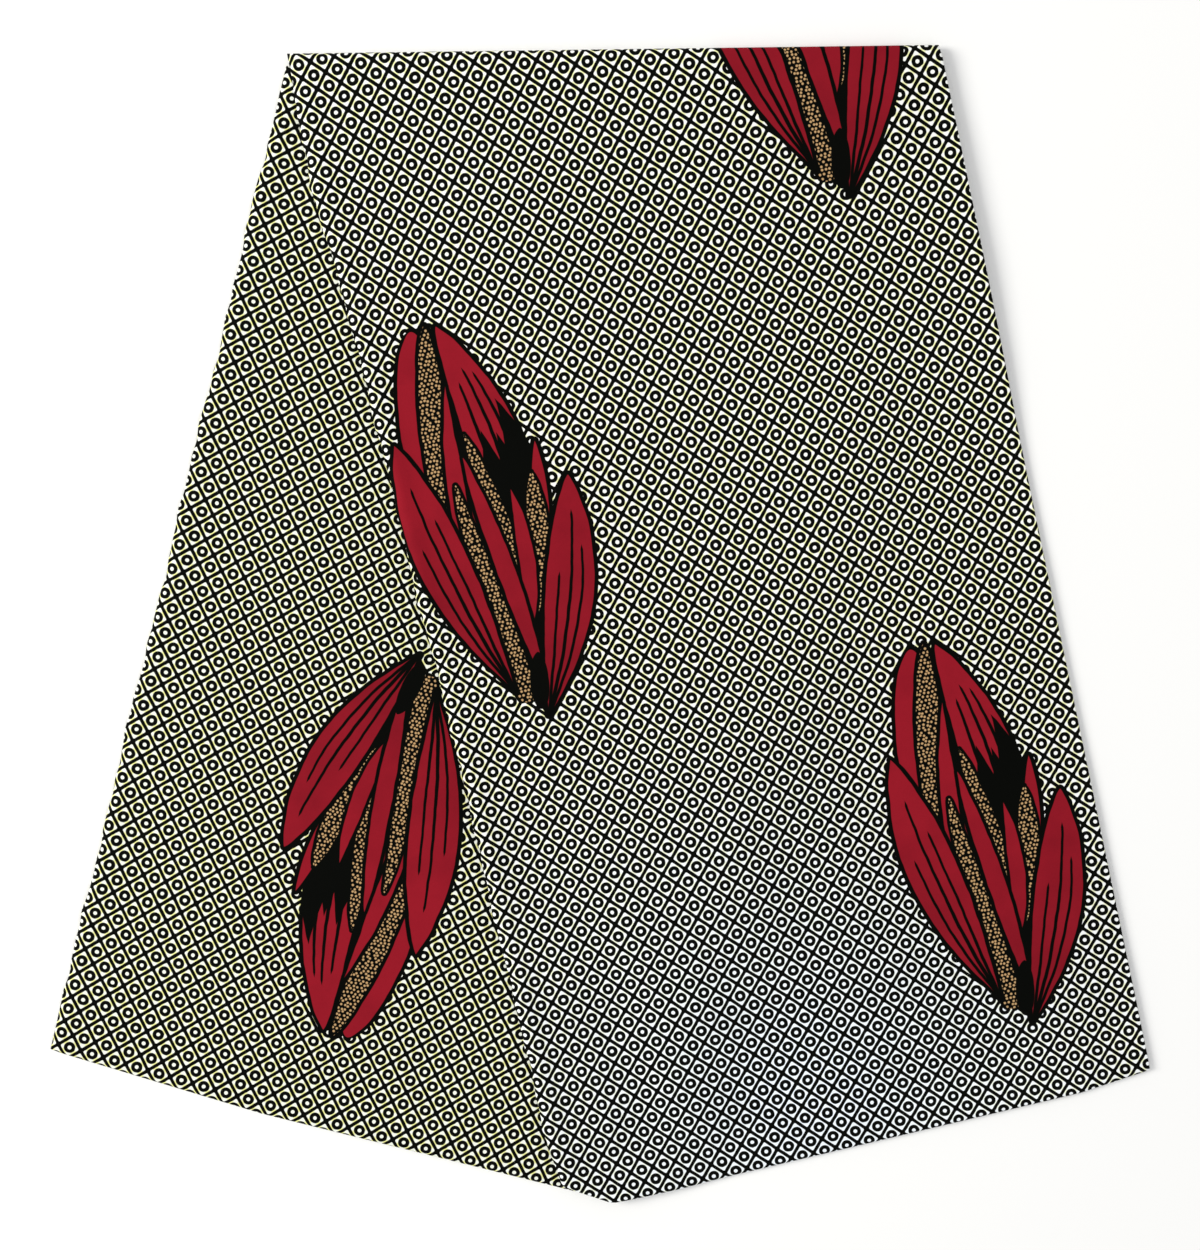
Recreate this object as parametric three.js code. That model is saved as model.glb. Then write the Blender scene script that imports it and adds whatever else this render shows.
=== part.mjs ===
// A length of wax print cloth, doubled lengthwise, folded into runs and folded once more across the top on
// the skew, so that its lower half fans out to the left and its upper half to the right.
// Millimetres, +Z up. The cloth rests on z = 0, and the origin is under the middle of its box.
import * as THREE from 'three';

// ---- driving dimensions, in millimetres and degrees ----
const TOP_FOLD = { leftX: -281.5, leftY: 528.3, length: 583.5, tilt: 0.8 };
const WALL = 1.1; // the outer ply
const SEAM_GAP = 0.3; // between one piece and the next
const HALF_STACK = 6.0; // all the plies of one half, pressed
const FOLD_RADIUS = 6.0; // of the rolled edges, seen from above
const INNER_EDGE = { first: 12, last: 12 }; // the first and last whole columns and rows, in from the edges

// Where the plies of the lower half stop, behind the roll of the top fold, and the foot of that roll's core.
const LOWER_START = 7.4;
const FOLD_CORE_FOOT = 7.0;

// The two halves. turn: the grain's angle from -Y, positive towards +X.
// bottomEdge: how far the half reaches down its grain, at shares of the width from its left edge.
const UPPER = {
  turn: 13.1,
  bottomEdge: [
    { across: 0, length: 1076 },
    { across: 0.074, length: 1094 },
    { across: 0.88, length: 987 },
    { across: 1, length: 965 },
  ],
};
const LOWER = {
  turn: -14.8,
  bottomEdge: [
    { across: 0, length: 941 },
    { across: 0.37, length: 1010 },
    { across: 0.96, length: 1105 },
    { across: 1, length: 1101 },
  ],
};

// The upper half comes down to the surface beyond the lower half's right edge.
const DESCENT = { width: 60, startsAt: 200, fullAt: 380 };

// Soft ridges (height > 0) and troughs (height < 0) of each half's top.
const UPPER_RELIEF = [
  { x1: -40, y1: -230, x2: 50, y2: -455, width: 42, height: -1.6 },
  { x1: -125, y1: -330, x2: -20, y2: -520, width: 34, height: 1.3 },
  { x1: 15, y1: -272, x2: 230, y2: -316, width: 24, height: 0.9 },
  { x1: 110, y1: 330, x2: 330, y2: 60, width: 60, height: 1.2 },
];
const LOWER_RELIEF = [
  { x1: -480, y1: -232, x2: -285, y2: -337, width: 30, height: 1.4 },
  { x1: -330, y1: 60, x2: -300, y2: -180, width: 45, height: -1.1 },
];

// How far round its edge the outer ply goes: radius seen from above, half of the height it covers, and the
// angle at which it ends, from the top of the roll.
const FULL_ROLL = { radius: FOLD_RADIUS, halfDepth: HALF_STACK / 2, endAngle: 160 };
const HEM_ROLL = { radius: FOLD_RADIUS, halfDepth: HALF_STACK / 2, endAngle: 110 };
const CUT_EDGE = { radius: 1.6, halfDepth: 1.3, endAngle: 100 };
const TOP_ROLL = { radius: FOLD_RADIUS, halfDepth: HALF_STACK + SEAM_GAP / 2, endAngle: 180 }; // both halves
const ROLL_STEPS = 5;

// The rounded layers at the edges of the hidden plies: depth below the half's top, and the tuck between two.
const LAYER_ROWS = [
  { depth: 1.4, tuck: 0.6 },
  { depth: 1.9, tuck: 0.6 },
  { depth: 2.6, tuck: 0 },
  { depth: 3.3, tuck: 0.6 },
  { depth: 4.4, tuck: 1.3 },
  { depth: 5.1, tuck: 0 },
  { depth: HALF_STACK, tuck: 0.6 },
];
const LAYER_CLEARANCE = WALL + SEAM_GAP; // from the outer ply's face to the layers inside it
const LAYER_SETBACK = 0.5; // of a layer that shows below the outer ply
const CORNER_INSET = 4.2; // of the hidden layers at their corners

// How many columns and rows the grid of each half has between its edges.
const UPPER_COLUMNS = { overLower: 6, descent: 4, onSurface: 4 };
const LOWER_COLUMNS = 9;
const ROWS = 15;
const ROW_COUNT = ROWS + 3; // with the first and last whole rows and the edge itself
const REACH_STEPS = 6;

// ---- the halves in plan ----
const radians = THREE.MathUtils.degToRad;
const foldDirection = new THREE.Vector2(Math.cos(radians(TOP_FOLD.tilt)), Math.sin(radians(TOP_FOLD.tilt)));
const foldLeft = new THREE.Vector2(TOP_FOLD.leftX, TOP_FOLD.leftY);

function grainOf(half) {
  return new THREE.Vector2(Math.sin(radians(half.turn)), -Math.cos(radians(half.turn)));
}

// The point so many millimetres across the top fold from its left end, and so many down the half's grain.
function planPoint(half, across, along) {
  return foldLeft.clone().addScaledVector(foldDirection, across).addScaledVector(grainOf(half), along);
}

function tableValue(rows, key, value, at) {
  const next = Math.max(1, rows.findIndex((row) => row[key] >= at));
  const low = rows[next - 1];
  const high = rows[next];
  const share = (at - low[key]) / (high[key] - low[key]);
  return THREE.MathUtils.lerp(low[value], high[value], THREE.MathUtils.clamp(share, 0, 1));
}

function reachOf(half, across) {
  const share = THREE.MathUtils.clamp(across / TOP_FOLD.length, 0, 1);
  return tableValue(half.bottomEdge, 'across', 'length', share);
}

// How far across the upper half, at a length down its grain, the lower half's right edge passes.
const upperGrain = grainOf(UPPER);
const lowerGrain = grainOf(LOWER);
const edgeDrift = lowerGrain.cross(upperGrain) / foldDirection.cross(lowerGrain);

function lowerEdgeAcross(along) {
  return TOP_FOLD.length + edgeDrift * along;
}

// ---- heights ----
function relief(rows, point) {
  let height = 0;
  for (const row of rows) {
    const start = new THREE.Vector2(row.x1, row.y1);
    const span = new THREE.Vector2(row.x2, row.y2).sub(start);
    const share = THREE.MathUtils.clamp(point.clone().sub(start).dot(span) / span.lengthSq(), 0, 1);
    const distance = start.addScaledVector(span, share).distanceTo(point);
    height += row.height * Math.exp(-((distance / row.width) ** 2));
  }
  return height;
}

function lowerTop(point) {
  return HALF_STACK + relief(LOWER_RELIEF, point);
}

function upperBase(across, along) {
  const beyond = across - lowerEdgeAcross(along);
  const descent = THREE.MathUtils.smoothstep(beyond, 0, DESCENT.width);
  const freed = THREE.MathUtils.smoothstep(along, DESCENT.startsAt, DESCENT.fullAt);
  return (lowerTop(planPoint(UPPER, across, along)) + SEAM_GAP) * (1 - descent * freed);
}

function upperTop(across, along) {
  return upperBase(across, along) + HALF_STACK + relief(UPPER_RELIEF, planPoint(UPPER, across, along));
}

const UPPER_SHAPE = {
  half: UPPER,
  startAlong: 0,
  firstRow: FOLD_CORE_FOOT,
  top: upperTop,
  base: upperBase,
  columns: upperColumns,
  sides: { left: FULL_ROLL, right: CUT_EDGE, bottom: HEM_ROLL, top: TOP_ROLL },
};
const LOWER_SHAPE = {
  half: LOWER,
  startAlong: LOWER_START,
  firstRow: LOWER_START + 5,
  top: (across, along) => lowerTop(planPoint(LOWER, across, along)),
  base: () => 0,
  columns: lowerColumns,
  sides: { left: FULL_ROLL, right: CUT_EDGE, bottom: HEM_ROLL, top: CUT_EDGE },
};

// ---- the grid that the pieces of one half share ----
function evenly(from, to, count) {
  return Array.from({ length: count }, (_, k) => THREE.MathUtils.lerp(from, to, k / count));
}

// Whole columns of the upper half at a length down its grain: they follow the lower half's right edge.
function upperColumns(along) {
  const { overLower, descent, onSurface } = UPPER_COLUMNS;
  const last = TOP_FOLD.length - INNER_EDGE.last;
  const edge = Math.min(lowerEdgeAcross(along), last - 1.5 * DESCENT.width);
  return [
    ...evenly(INNER_EDGE.first, edge, overLower),
    ...evenly(edge, edge + DESCENT.width, descent),
    ...evenly(edge + DESCENT.width, last, onSurface),
    last,
  ];
}

function lowerColumns() {
  const last = TOP_FOLD.length - INNER_EDGE.last;
  return [...evenly(INNER_EDGE.first, last, LOWER_COLUMNS), last];
}

// Lengths down the grain of the whole rows, for a half that reaches so far.
function rowsOf(shape, reach) {
  const first = shape.firstRow;
  const second = first + INNER_EDGE.first;
  const last = reach - INNER_EDGE.last;
  return [first, ...evenly(second, last, ROWS), last];
}

// A grid node's place for insets from the four edges. Column 0 and row 0 are the first edges, and the
// last column and row are the other two.
function gridPlace(shape, i, j, inset) {
  const columnCount = shape.columns(0).length + 1;
  const sideStretch = 1 / Math.cos(radians(shape.half.turn - TOP_FOLD.tilt));
  const place = (along) => {
    if (i === 0) return inset.left * sideStretch;
    if (i === columnCount) return TOP_FOLD.length - inset.right * sideStretch;
    return shape.columns(along)[i - 1];
  };
  let along = shape.startAlong + inset.top;
  if (j > 0) {
    // the reach depends on the place across, and the columns lean with the length, so it is met in steps
    let reach = shape.half.bottomEdge[0].length;
    for (let step = 0; step < REACH_STEPS; step += 1) {
      along = j === ROW_COUNT ? reach - inset.bottom : rowsOf(shape, reach)[j - 1];
      reach = reachOf(shape.half, place(along));
    }
  }
  return { across: place(along), along };
}

// ---- the edges of a piece ----
// A level is a way round the four edges: for each, how far in it lies and how far below the half's top.
function rollLevel(side, share, wall) {
  const angle = radians(side.endAngle) * share;
  return {
    inset: wall + (side.radius - wall) * (1 - Math.sin(angle)),
    drop: wall + (side.halfDepth - wall) * (1 - Math.cos(angle)),
  };
}

// The hidden layers follow the inside of the outer ply as far as it goes, and show below it.
function layerLevel(side, row) {
  if (side === TOP_ROLL) {
    const first = LAYER_ROWS[0].depth;
    return rollLevel(side, (row.depth - first) / (HALF_STACK - first), LAYER_CLEARANCE);
  }
  const plyEnd = side.halfDepth * (1 - Math.cos(radians(side.endAngle)));
  if (side !== FULL_ROLL && row.depth > plyEnd + SEAM_GAP) {
    return { inset: LAYER_SETBACK + row.tuck, drop: row.depth };
  }
  const fromMiddle = (row.depth - side.halfDepth) / Math.max(side.halfDepth - LAYER_CLEARANCE, SEAM_GAP);
  const round = 1 - Math.sqrt(1 - THREE.MathUtils.clamp(fromMiddle, -1, 1) ** 2);
  const inset = LAYER_CLEARANCE + Math.max(side.radius - LAYER_CLEARANCE, 0) * round + row.tuck;
  return { inset: Math.min(inset, Math.max(side.radius, LAYER_CLEARANCE + row.tuck)), drop: row.depth };
}

function levelOf(shape, sideLevel) {
  return Object.fromEntries(Object.entries(shape.sides).map(([name, side]) => [name, sideLevel(side)]));
}

function plyLevels(shape) {
  const outer = Array.from({ length: ROLL_STEPS + 1 }, (_, k) => ({ share: k / ROLL_STEPS, wall: 0 }));
  const inner = outer.map(({ share }) => ({ share, wall: WALL })).reverse();
  return [...outer, ...inner].map(({ share, wall }) => levelOf(shape, (side) => rollLevel(side, share, wall)));
}

function layerLevels(shape) {
  return LAYER_ROWS.map((row) => levelOf(shape, (side) => layerLevel(side, row)));
}

// ---- solids ----
// One closed body from levels: whole grids for the first and the last, and their edges for those between.
function slab(shape, levels, cornerInset = 0) {
  const columnCount = shape.columns(0).length + 1;
  const edge = [];
  for (let j = 0; j < ROW_COUNT; j += 1) edge.push([0, j]);
  for (let i = 0; i < columnCount; i += 1) edge.push([i, ROW_COUNT]);
  for (let j = ROW_COUNT; j > 0; j -= 1) edge.push([columnCount, j]);
  for (let i = columnCount; i > 0; i -= 1) edge.push([i, 0]);

  function vertex(level, i, j, whole) {
    const insets = {};
    const atCorner = (i <= 1 || i >= columnCount - 1) && (j <= 1 || j >= ROW_COUNT - 1);
    for (const name of ['left', 'right', 'top', 'bottom']) {
      insets[name] = Math.max(level[name].inset, atCorner ? cornerInset : 0);
    }
    const { across, along } = gridPlace(shape, i, j, insets);
    const drops = [];
    if (i === 0) drops.push(level.left.drop);
    if (i === columnCount) drops.push(level.right.drop);
    if (j === 0) drops.push(level.top.drop);
    if (j === ROW_COUNT) drops.push(level.bottom.drop);
    const drop = drops.length ? Math.max(...drops) : whole;
    const point = planPoint(shape.half, across, along);
    const onBase = drop >= HALF_STACK && !(j === 0 && shape.sides.top === TOP_ROLL);
    const height = onBase ? shape.base(across, along) : shape.top(across, along) - drop;
    return new THREE.Vector3(point.x, point.y, Math.max(height, 0));
  }

  const points = [];
  const faces = [];
  const quad = (a, b, c, d) => faces.push(a, b, c, a, c, d);
  const wholeGrid = (level, whole, up) => {
    const start = points.length;
    const index = (i, j) => start + j * (columnCount + 1) + i;
    for (let j = 0; j <= ROW_COUNT; j += 1) {
      for (let i = 0; i <= columnCount; i += 1) points.push(vertex(level, i, j, whole));
    }
    for (let j = 0; j < ROW_COUNT; j += 1) {
      for (let i = 0; i < columnCount; i += 1) {
        const [a, b, c, d] = [index(i, j), index(i, j + 1), index(i + 1, j + 1), index(i + 1, j)];
        if (up) quad(a, b, c, d);
        else quad(a, d, c, b);
      }
    }
    return edge.map(([i, j]) => index(i, j));
  };
  const joinRings = (upper, lower) => {
    upper.forEach((_, k) => {
      const next = (k + 1) % upper.length;
      quad(upper[k], lower[k], lower[next], upper[next]);
    });
  };

  let ring = wholeGrid(levels[0], levels[0].left.drop, true);
  for (const level of levels.slice(1, -1)) {
    const start = points.length;
    edge.forEach(([i, j]) => points.push(vertex(level, i, j, 0)));
    const nextRing = edge.map((_, k) => start + k);
    joinRings(ring, nextRing);
    ring = nextRing;
  }
  const last = levels[levels.length - 1];
  joinRings(ring, wholeGrid(last, last.left.drop, false));

  const geometry = new THREE.BufferGeometry().setFromPoints(points);
  geometry.setIndex(faces);
  return geometry;
}

function clothMaterial(color) {
  return new THREE.MeshStandardMaterial({ color, roughness: 0.82, metalness: 0 });
}

function named(name, geometry, color) {
  geometry.computeVertexNormals();
  const mesh = new THREE.Mesh(geometry, clothMaterial(color));
  mesh.name = name;
  return mesh;
}

// ---- the folded cloth ----
const cloth = new THREE.Group();
cloth.name = 'wax_print_fabric';
cloth.add(named('upper_panel', slab(UPPER_SHAPE, plyLevels(UPPER_SHAPE)), 0x9d9f94));
cloth.add(named('upper_hidden_layers', slab(UPPER_SHAPE, layerLevels(UPPER_SHAPE), CORNER_INSET), 0x8b8c80));
cloth.add(named('lower_panel', slab(LOWER_SHAPE, plyLevels(LOWER_SHAPE)), 0xa2a392));
cloth.add(named('lower_hidden_layers', slab(LOWER_SHAPE, layerLevels(LOWER_SHAPE), CORNER_INSET), 0x8e8f7e));

export default cloth;
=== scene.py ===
# The looks of a folded length of wax print cloth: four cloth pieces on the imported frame, their printed
# materials, a pale floor, soft light and the camera.
# Sizes are in millimetres and degrees, on the frame's axes, and MM turns them into metres.
# Where a size is in metres from the start, as for the lamps, a comment says so.
import math

import bpy
import numpy as np
from mathutils import Matrix, Vector


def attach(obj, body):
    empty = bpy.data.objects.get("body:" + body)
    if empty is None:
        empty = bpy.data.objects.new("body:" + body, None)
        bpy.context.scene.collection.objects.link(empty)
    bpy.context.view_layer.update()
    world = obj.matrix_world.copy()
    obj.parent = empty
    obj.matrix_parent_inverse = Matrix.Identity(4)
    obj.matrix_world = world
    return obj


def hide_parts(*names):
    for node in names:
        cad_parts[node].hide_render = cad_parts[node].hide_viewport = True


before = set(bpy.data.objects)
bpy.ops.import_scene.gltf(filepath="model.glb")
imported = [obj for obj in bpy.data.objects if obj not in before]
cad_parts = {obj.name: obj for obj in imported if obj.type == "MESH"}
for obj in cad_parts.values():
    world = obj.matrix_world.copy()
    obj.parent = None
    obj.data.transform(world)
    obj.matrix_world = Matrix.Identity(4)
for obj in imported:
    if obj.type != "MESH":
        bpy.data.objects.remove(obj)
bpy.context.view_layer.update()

MM = 0.001
IMAGE = {"width": 1200, "height": 1250}

# ---- driving dimensions: those of the solids, but the hems and the top fold lie a little further out ----
TOP_FOLD = {"left": (-281.5, 528.3), "length": 583.5, "tilt": 0.8}
SEAM_GAP = 0.3
HALF_STACK = 6.0
FOLD_RADIUS = 6.0

# The grid of a half: how far its outer columns and rows lie in from the edges, where the two halves and
# their next rows start down the grain from the top fold, and how far apart the points are.
INNER_EDGE = 12.0
UPPER_START = -2.6
LOWER_START = 7.4
FOLD_CORE_FOOT = 7.0
FIRST_ROW_IN = 5.0
CLOTH_SPACING = 6.0
PLIES_SPACING = 8.0

# The two halves in plan: the turn of the grain from straight down, and the length down the grain for
# shares of the way across the top fold.
UPPER = {"turn": 13.1, "across": (0, 0.074, 0.2, 0.88, 1), "length": (1076, 1094, 1081, 992, 970)}
LOWER = {"turn": -14.8, "across": (0, 0.37, 0.96, 1), "length": (947, 1015, 1106, 1101)}

# Beside the lower half the upper one comes down to the table: over this width, and from the first of these
# distances down the grain to the second.
DESCENT = {"width": 105.0, "starts_at": 200.0, "full_at": 400.0}

# Soft ridges (height above 0) and troughs of each half's top, each along a line from one point to another.
UPPER_CREASES = [
    {"line": (-60, -180, 55, -480), "width": 30, "height": -2.6},
    {"line": (-125, -280, -35, -520), "width": 28, "height": 1.9},
    {"line": (15, -272, 230, -316), "width": 24, "height": 1.3},
    {"line": (110, 330, 330, 60), "width": 50, "height": 1.4},
    {"line": (-20, -262, 36, -410), "width": 13, "height": -0.5},
    {"line": (250, -60, 330, -240), "width": 22, "height": 0.5},
    {"line": (-120, 420, 40, 300), "width": 26, "height": -0.4},
    {"line": (70, -470, 190, -425), "width": 20, "height": 0.6},
]
LOWER_CREASES = [
    {"line": (-480, -232, -285, -337), "width": 28, "height": 1.9},
    {"line": (-330, 60, -300, -180), "width": 45, "height": -1.1},
    {"line": (-440, -190, -330, -250), "width": 14, "height": -0.5},
    {"line": (-300, -360, -180, -420), "width": 20, "height": 0.6},
    {"line": (-290, 330, -262, 190), "width": 18, "height": 0.4},
]

# Long low waves over a whole half: the length of one, the way it runs, its height and where it starts.
CLOTH_WAVES = [
    {"length": 230, "turn": 24, "height": 0.16, "start": 0.4},
    {"length": 148, "turn": 141, "height": 0.12, "start": 1.9},
    {"length": 91, "turn": 77, "height": 0.07, "start": 4.1},
    {"length": 57, "turn": 8, "height": 0.04, "start": 2.7},
]

# The waves and the waver grow from nothing between these distances from the top fold and from a loose end.
CALM = {"at_fold": (8, 60), "at_end": (0, 40)}

# The folded left edges bulge a little, and waver along their length.
EDGE_BULGE = {"at": 10.0, "width": 8.0, "height": 2.3}
LOWER_BULGE_SHARE = 0.5
EDGE_WAVER = [
    {"length": 236, "size": 0.8, "start": 0.9},
    {"length": 97, "size": 0.7, "start": 2.2},
    {"length": 43, "size": 0.55, "start": 0.3},
    {"length": 26, "size": 0.3, "start": 4.4},
]
EDGE_WAVER_REACH = 30.0

# Slow bends of the upper half's left edge: where down the grain, over what length, how far to the right.
UPPER_EDGE_BENDS = [
    {"at": 105, "width": 95, "size": -6.0},
    {"at": 270, "width": 80, "size": -2.0},
    {"at": 490, "width": 35, "size": -3.8},
    {"at": 770, "width": 70, "size": -2.6},
    {"at": 1010, "width": 130, "size": -5.0},
]

# How the outer ply turns round each edge: radius from above, half of the height, where it ends.
FULL_ROLL = {"radius": 8.0, "half_depth": HALF_STACK / 2, "end": 160}
HEM_ROLL = {"radius": FOLD_RADIUS, "half_depth": HALF_STACK / 2, "end": 110}
CUT_EDGE = {"radius": 1.6, "half_depth": 1.3, "end": 100}
TOP_ROLL = {"radius": FOLD_RADIUS, "half_depth": HALF_STACK + SEAM_GAP / 2, "end": 180}
PLY = 0.5
ROLL_STEPS = 12
ARC_STEPS = 40

# The plies inside a half: depth of each below the top, and how far its cut edge lies in.
# PLY_GAP is the gap above and below each ply's edge, and PLY_GAP_DEPTH is how far in the gap reaches.
HIDDEN_PLIES = [
    {"depth": 1.35, "back": 0.9},
    {"depth": 2.30, "back": 2.1},
    {"depth": 3.25, "back": 0.5},
    {"depth": 4.20, "back": 1.7},
    {"depth": 5.15, "back": 0.8},
]
PLY_GAP = 0.08
PLY_GAP_DEPTH = 5.5

# Along the hems the inner plies turn back in two noses, over one cut edge. depth: of a nose's top.
# back: how far in its tip lies. first and last: shares of half a turn. UNDER_NOSES: how far in, how deep.
NOSES = [{"depth": 1.9, "back": 0.9}, {"depth": 3.95, "back": 0.3}]
NOSE = {"radius": 0.92, "stretch": 3.4, "steps": 10, "first": 0.06, "last": 0.94}
UNDER_NOSES = [(4.0, 5.4), (1.2, 5.45), (0.9, 5.7), (1.1, 5.98), (4.0, 6.0)]

# How far in the hidden plies stay at the corners, and under the outer ply where it rolls round them.
CORNER_INSET = 4.2
CORE_CLEARANCE = 0.9

# ---- the print ----
# A ring sits in each cell of a slanting grid. across and along are half of a cell's two diagonals.
# drift: how the cells bend away from an even grid, for each square decimetre from the centre.
UPPER_PRINT = {
    "ring": (168.0, 107.5),
    "across": 10.95,
    "across_turn": 13.9,
    "along": 12.05,
    "along_turn": 103.8,
    "centre": (150, 100),
    "drift_a": (-0.0084, -0.013, -0.0055),
    "drift_b": (-0.0074, 0.0, 0.004),
}
LOWER_PRINT = {
    "ring": (-293.0, -110.0),
    "across": 10.92,
    "across_turn": -16.85,
    "along": 11.85,
    "along_turn": 72.5,
    "centre": (-300, -120),
    "drift_a": (-0.0064, 0.0167, 0.0039),
    "drift_b": (0.0141, -0.0198, -0.0225),
}
CENTIMETRE = 10.0
DECIMETRE = 100.0
CELL_SIDE = 16.1
HOLE_RADIUS = 1.83
RING_RADIUS = 5.4
LINE_HALF = 1.6
CELL_CORNER = 1.2

# The cloth is yellow where the gap between ring and line is under HALO_NEAR, and white from HALO_FAR on.
# The yellow starts at the ring's edge, between the distances of HALO_FROM_RING from it.
HALO_NEAR = 1.2
HALO_FAR = 2.1
HALO_FROM_RING = (-0.2, 0.3)

# The black thins out where the grid's lines cross, from one share of a cell to the other.
CROSSING = (0.44, 0.5)

# The print is a little uneven: its cells sway and jitter by shares of a cell, its rings by millimetres,
# and its lines by a share of what the rings do.
SWAY = {"scale": 0.9, "detail": 1.0, "cells": 0.06}
JITTER = {"scale": 3.1, "detail": 1.0, "cells": 0.05, "ring": 0.5, "line_share": 0.6}

# Where the buds stand: the foot and the tip of each, on the flat cloth.
UPPER_BUDS = [
    {"foot": (-53.0, -63.3), "tip": (-160.7, 295.6)},
    {"foot": (404.6, -357.5), "tip": (298.5, 5.6)},
    {"foot": (218.9, 408.7), "tip": (112.0, 768.0)},
]
LOWER_BUDS = [{"foot": (-166.8, -14.0), "tip": (-258.4, -377.2)}]
UPPER_BACK_BUDS = [{"foot": (330.0, -330.0), "tip": (415.0, 30.0)}]
LOWER_BACK_BUDS = [
    {"foot": (-330.0, 90.0), "tip": (-240.0, 453.0)},
    {"foot": (-40.0, -300.0), "tip": (50.0, 63.0)},
    {"foot": (-400.0, -330.0), "tip": (-310.0, 33.0)},
]

# What a bud's map covers of its own frame, and the length of a bud from its foot to its tip.
BUD_FRAME = {"left": -100.0, "width": 200.0, "foot": -10.0, "length": 400.0}
BUD_LENGTH = 375.0

# For each kind of skin: where its sides go on the map for baking, as first and last share of its width,
# and the sides that buds are printed on. MAP_MARGIN is left free round the cloth.
CLOTH_SKIN = {"map": {"face": (0.005, 0.86), "back": (0.88, 0.995)}, "bud_sides": ("face", "back")}
PLIES_SKIN = {
    "map": {"back": (0.005, 0.08), "face": (0.10, 0.48), "under": (0.50, 0.995)},
    "bud_sides": ("under",),
}
MAP_MARGIN = 30.0


# ---- the halves in plan ----
def direction(turn):
    return np.array([math.cos(math.radians(turn)), math.sin(math.radians(turn))])


def grain_of(half):
    return direction(half["turn"] - 90)


FOLD_DIRECTION = direction(TOP_FOLD["tilt"])
FOLD_LEFT = np.array(TOP_FOLD["left"])


def plan_point(half, across, along):
    """Where so many millimetres across the top fold and so many down the half's grain lead."""
    across = np.asarray(across)[..., None]
    along = np.asarray(along)[..., None]
    return FOLD_LEFT + across * FOLD_DIRECTION + along * grain_of(half)


def cross(a, b):
    return a[0] * b[1] - a[1] * b[0]


def shares_of(offset, first, second):
    """How much of each of two directions adds up to an offset in plan."""
    span = cross(first, second)
    of_first = (offset[..., 0] * second[1] - offset[..., 1] * second[0]) / span
    of_second = (first[0] * offset[..., 1] - first[1] * offset[..., 0]) / span
    return of_first, of_second


def half_place(half, points):
    """across and along, on a half, of points in plan."""
    return shares_of(points - FOLD_LEFT, FOLD_DIRECTION, grain_of(half))


def reach_of(half, across):
    return np.interp(across / TOP_FOLD["length"], half["across"], half["length"])


EDGE_DRIFT = cross(grain_of(LOWER), grain_of(UPPER)) / cross(FOLD_DIRECTION, grain_of(LOWER))


def smooth_step(value, low, high):
    share = np.clip((value - low) / (high - low), 0, 1)
    return share * share * (3 - 2 * share)


# ---- heights ----
def creases(rows, points):
    height = np.zeros(len(points))
    for row in rows:
        start = np.array(row["line"][:2])
        span = np.array(row["line"][2:]) - start
        share = np.clip((points - start) @ span / (span @ span), 0, 1)
        distance = np.linalg.norm(points - start - share[:, None] * span, axis=1)
        height += row["height"] * np.exp(-((distance / row["width"]) ** 2))
    return height


def waves(points):
    height = np.zeros(len(points))
    for row in CLOTH_WAVES:
        along = points @ direction(row["turn"])
        height += row["height"] * np.sin(2 * np.pi * along / row["length"] + row["start"])
    return height


def bulge(across):
    return EDGE_BULGE["height"] * np.exp(-(((across - EDGE_BULGE["at"]) / EDGE_BULGE["width"]) ** 2))


def calm(half, across, along):
    """0 at the top fold and at the ends, 1 away from them."""
    from_end = reach_of(half, across) - along
    return smooth_step(along, *CALM["at_fold"]) * smooth_step(from_end, *CALM["at_end"])


def lower_top(across, along):
    points = plan_point(LOWER, across, along)
    return HALF_STACK + creases(LOWER_CREASES, points) + calm(LOWER, across, along) * waves(points)


def on_the_table(across, along):
    return np.zeros(len(across))


def upper_base(across, along):
    """The upper half lies on the lower one, and comes down to the table beside it."""
    points = plan_point(UPPER, across, along)
    beyond = across - (TOP_FOLD["length"] + EDGE_DRIFT * along)
    descent = smooth_step(beyond, 0, DESCENT["width"])
    freed = smooth_step(along, DESCENT["starts_at"], DESCENT["full_at"])
    return (lower_top(*half_place(LOWER, points)) + SEAM_GAP) * (1 - descent * freed)


def upper_top(across, along):
    points = plan_point(UPPER, across, along)
    rise = creases(UPPER_CREASES, points) + calm(UPPER, across, along) * (waves(points) + bulge(across))
    return upper_base(across, along) + HALF_STACK + rise


def lower_top_shown(across, along):
    return lower_top(across, along) + LOWER_BULGE_SHARE * calm(LOWER, across, along) * bulge(across)


# ---- the grid of a half, and the levels round its edges ----
def half_shape(half, name, heights, rows, sides, bends):
    """heights: the half's top and base. rows: where its first two rows lie, and the grid's spacing."""
    top, base = heights
    spacing = rows["spacing"]
    columns = np.linspace(INNER_EDGE, TOP_FOLD["length"] - INNER_EDGE, round(TOP_FOLD["length"] / spacing))
    return {
        "half": half,
        "name": name,
        "top": top,
        "base": base,
        "start_along": rows["start_along"],
        "first_row": rows["first_row"],
        "sides": sides,
        "bends": bends,
        "columns": columns,
        "rows": round(max(half["length"]) / spacing),
        "stretch": 1 / math.cos(math.radians(half["turn"] - TOP_FOLD["tilt"])),
    }


def upper_shape(spacing):
    sides = {"left": FULL_ROLL, "right": CUT_EDGE, "bottom": HEM_ROLL, "top": TOP_ROLL}
    rows = {"start_along": UPPER_START, "first_row": FOLD_CORE_FOOT, "spacing": spacing}
    return half_shape(UPPER, "upper", (upper_top, upper_base), rows, sides, UPPER_EDGE_BENDS)


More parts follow.
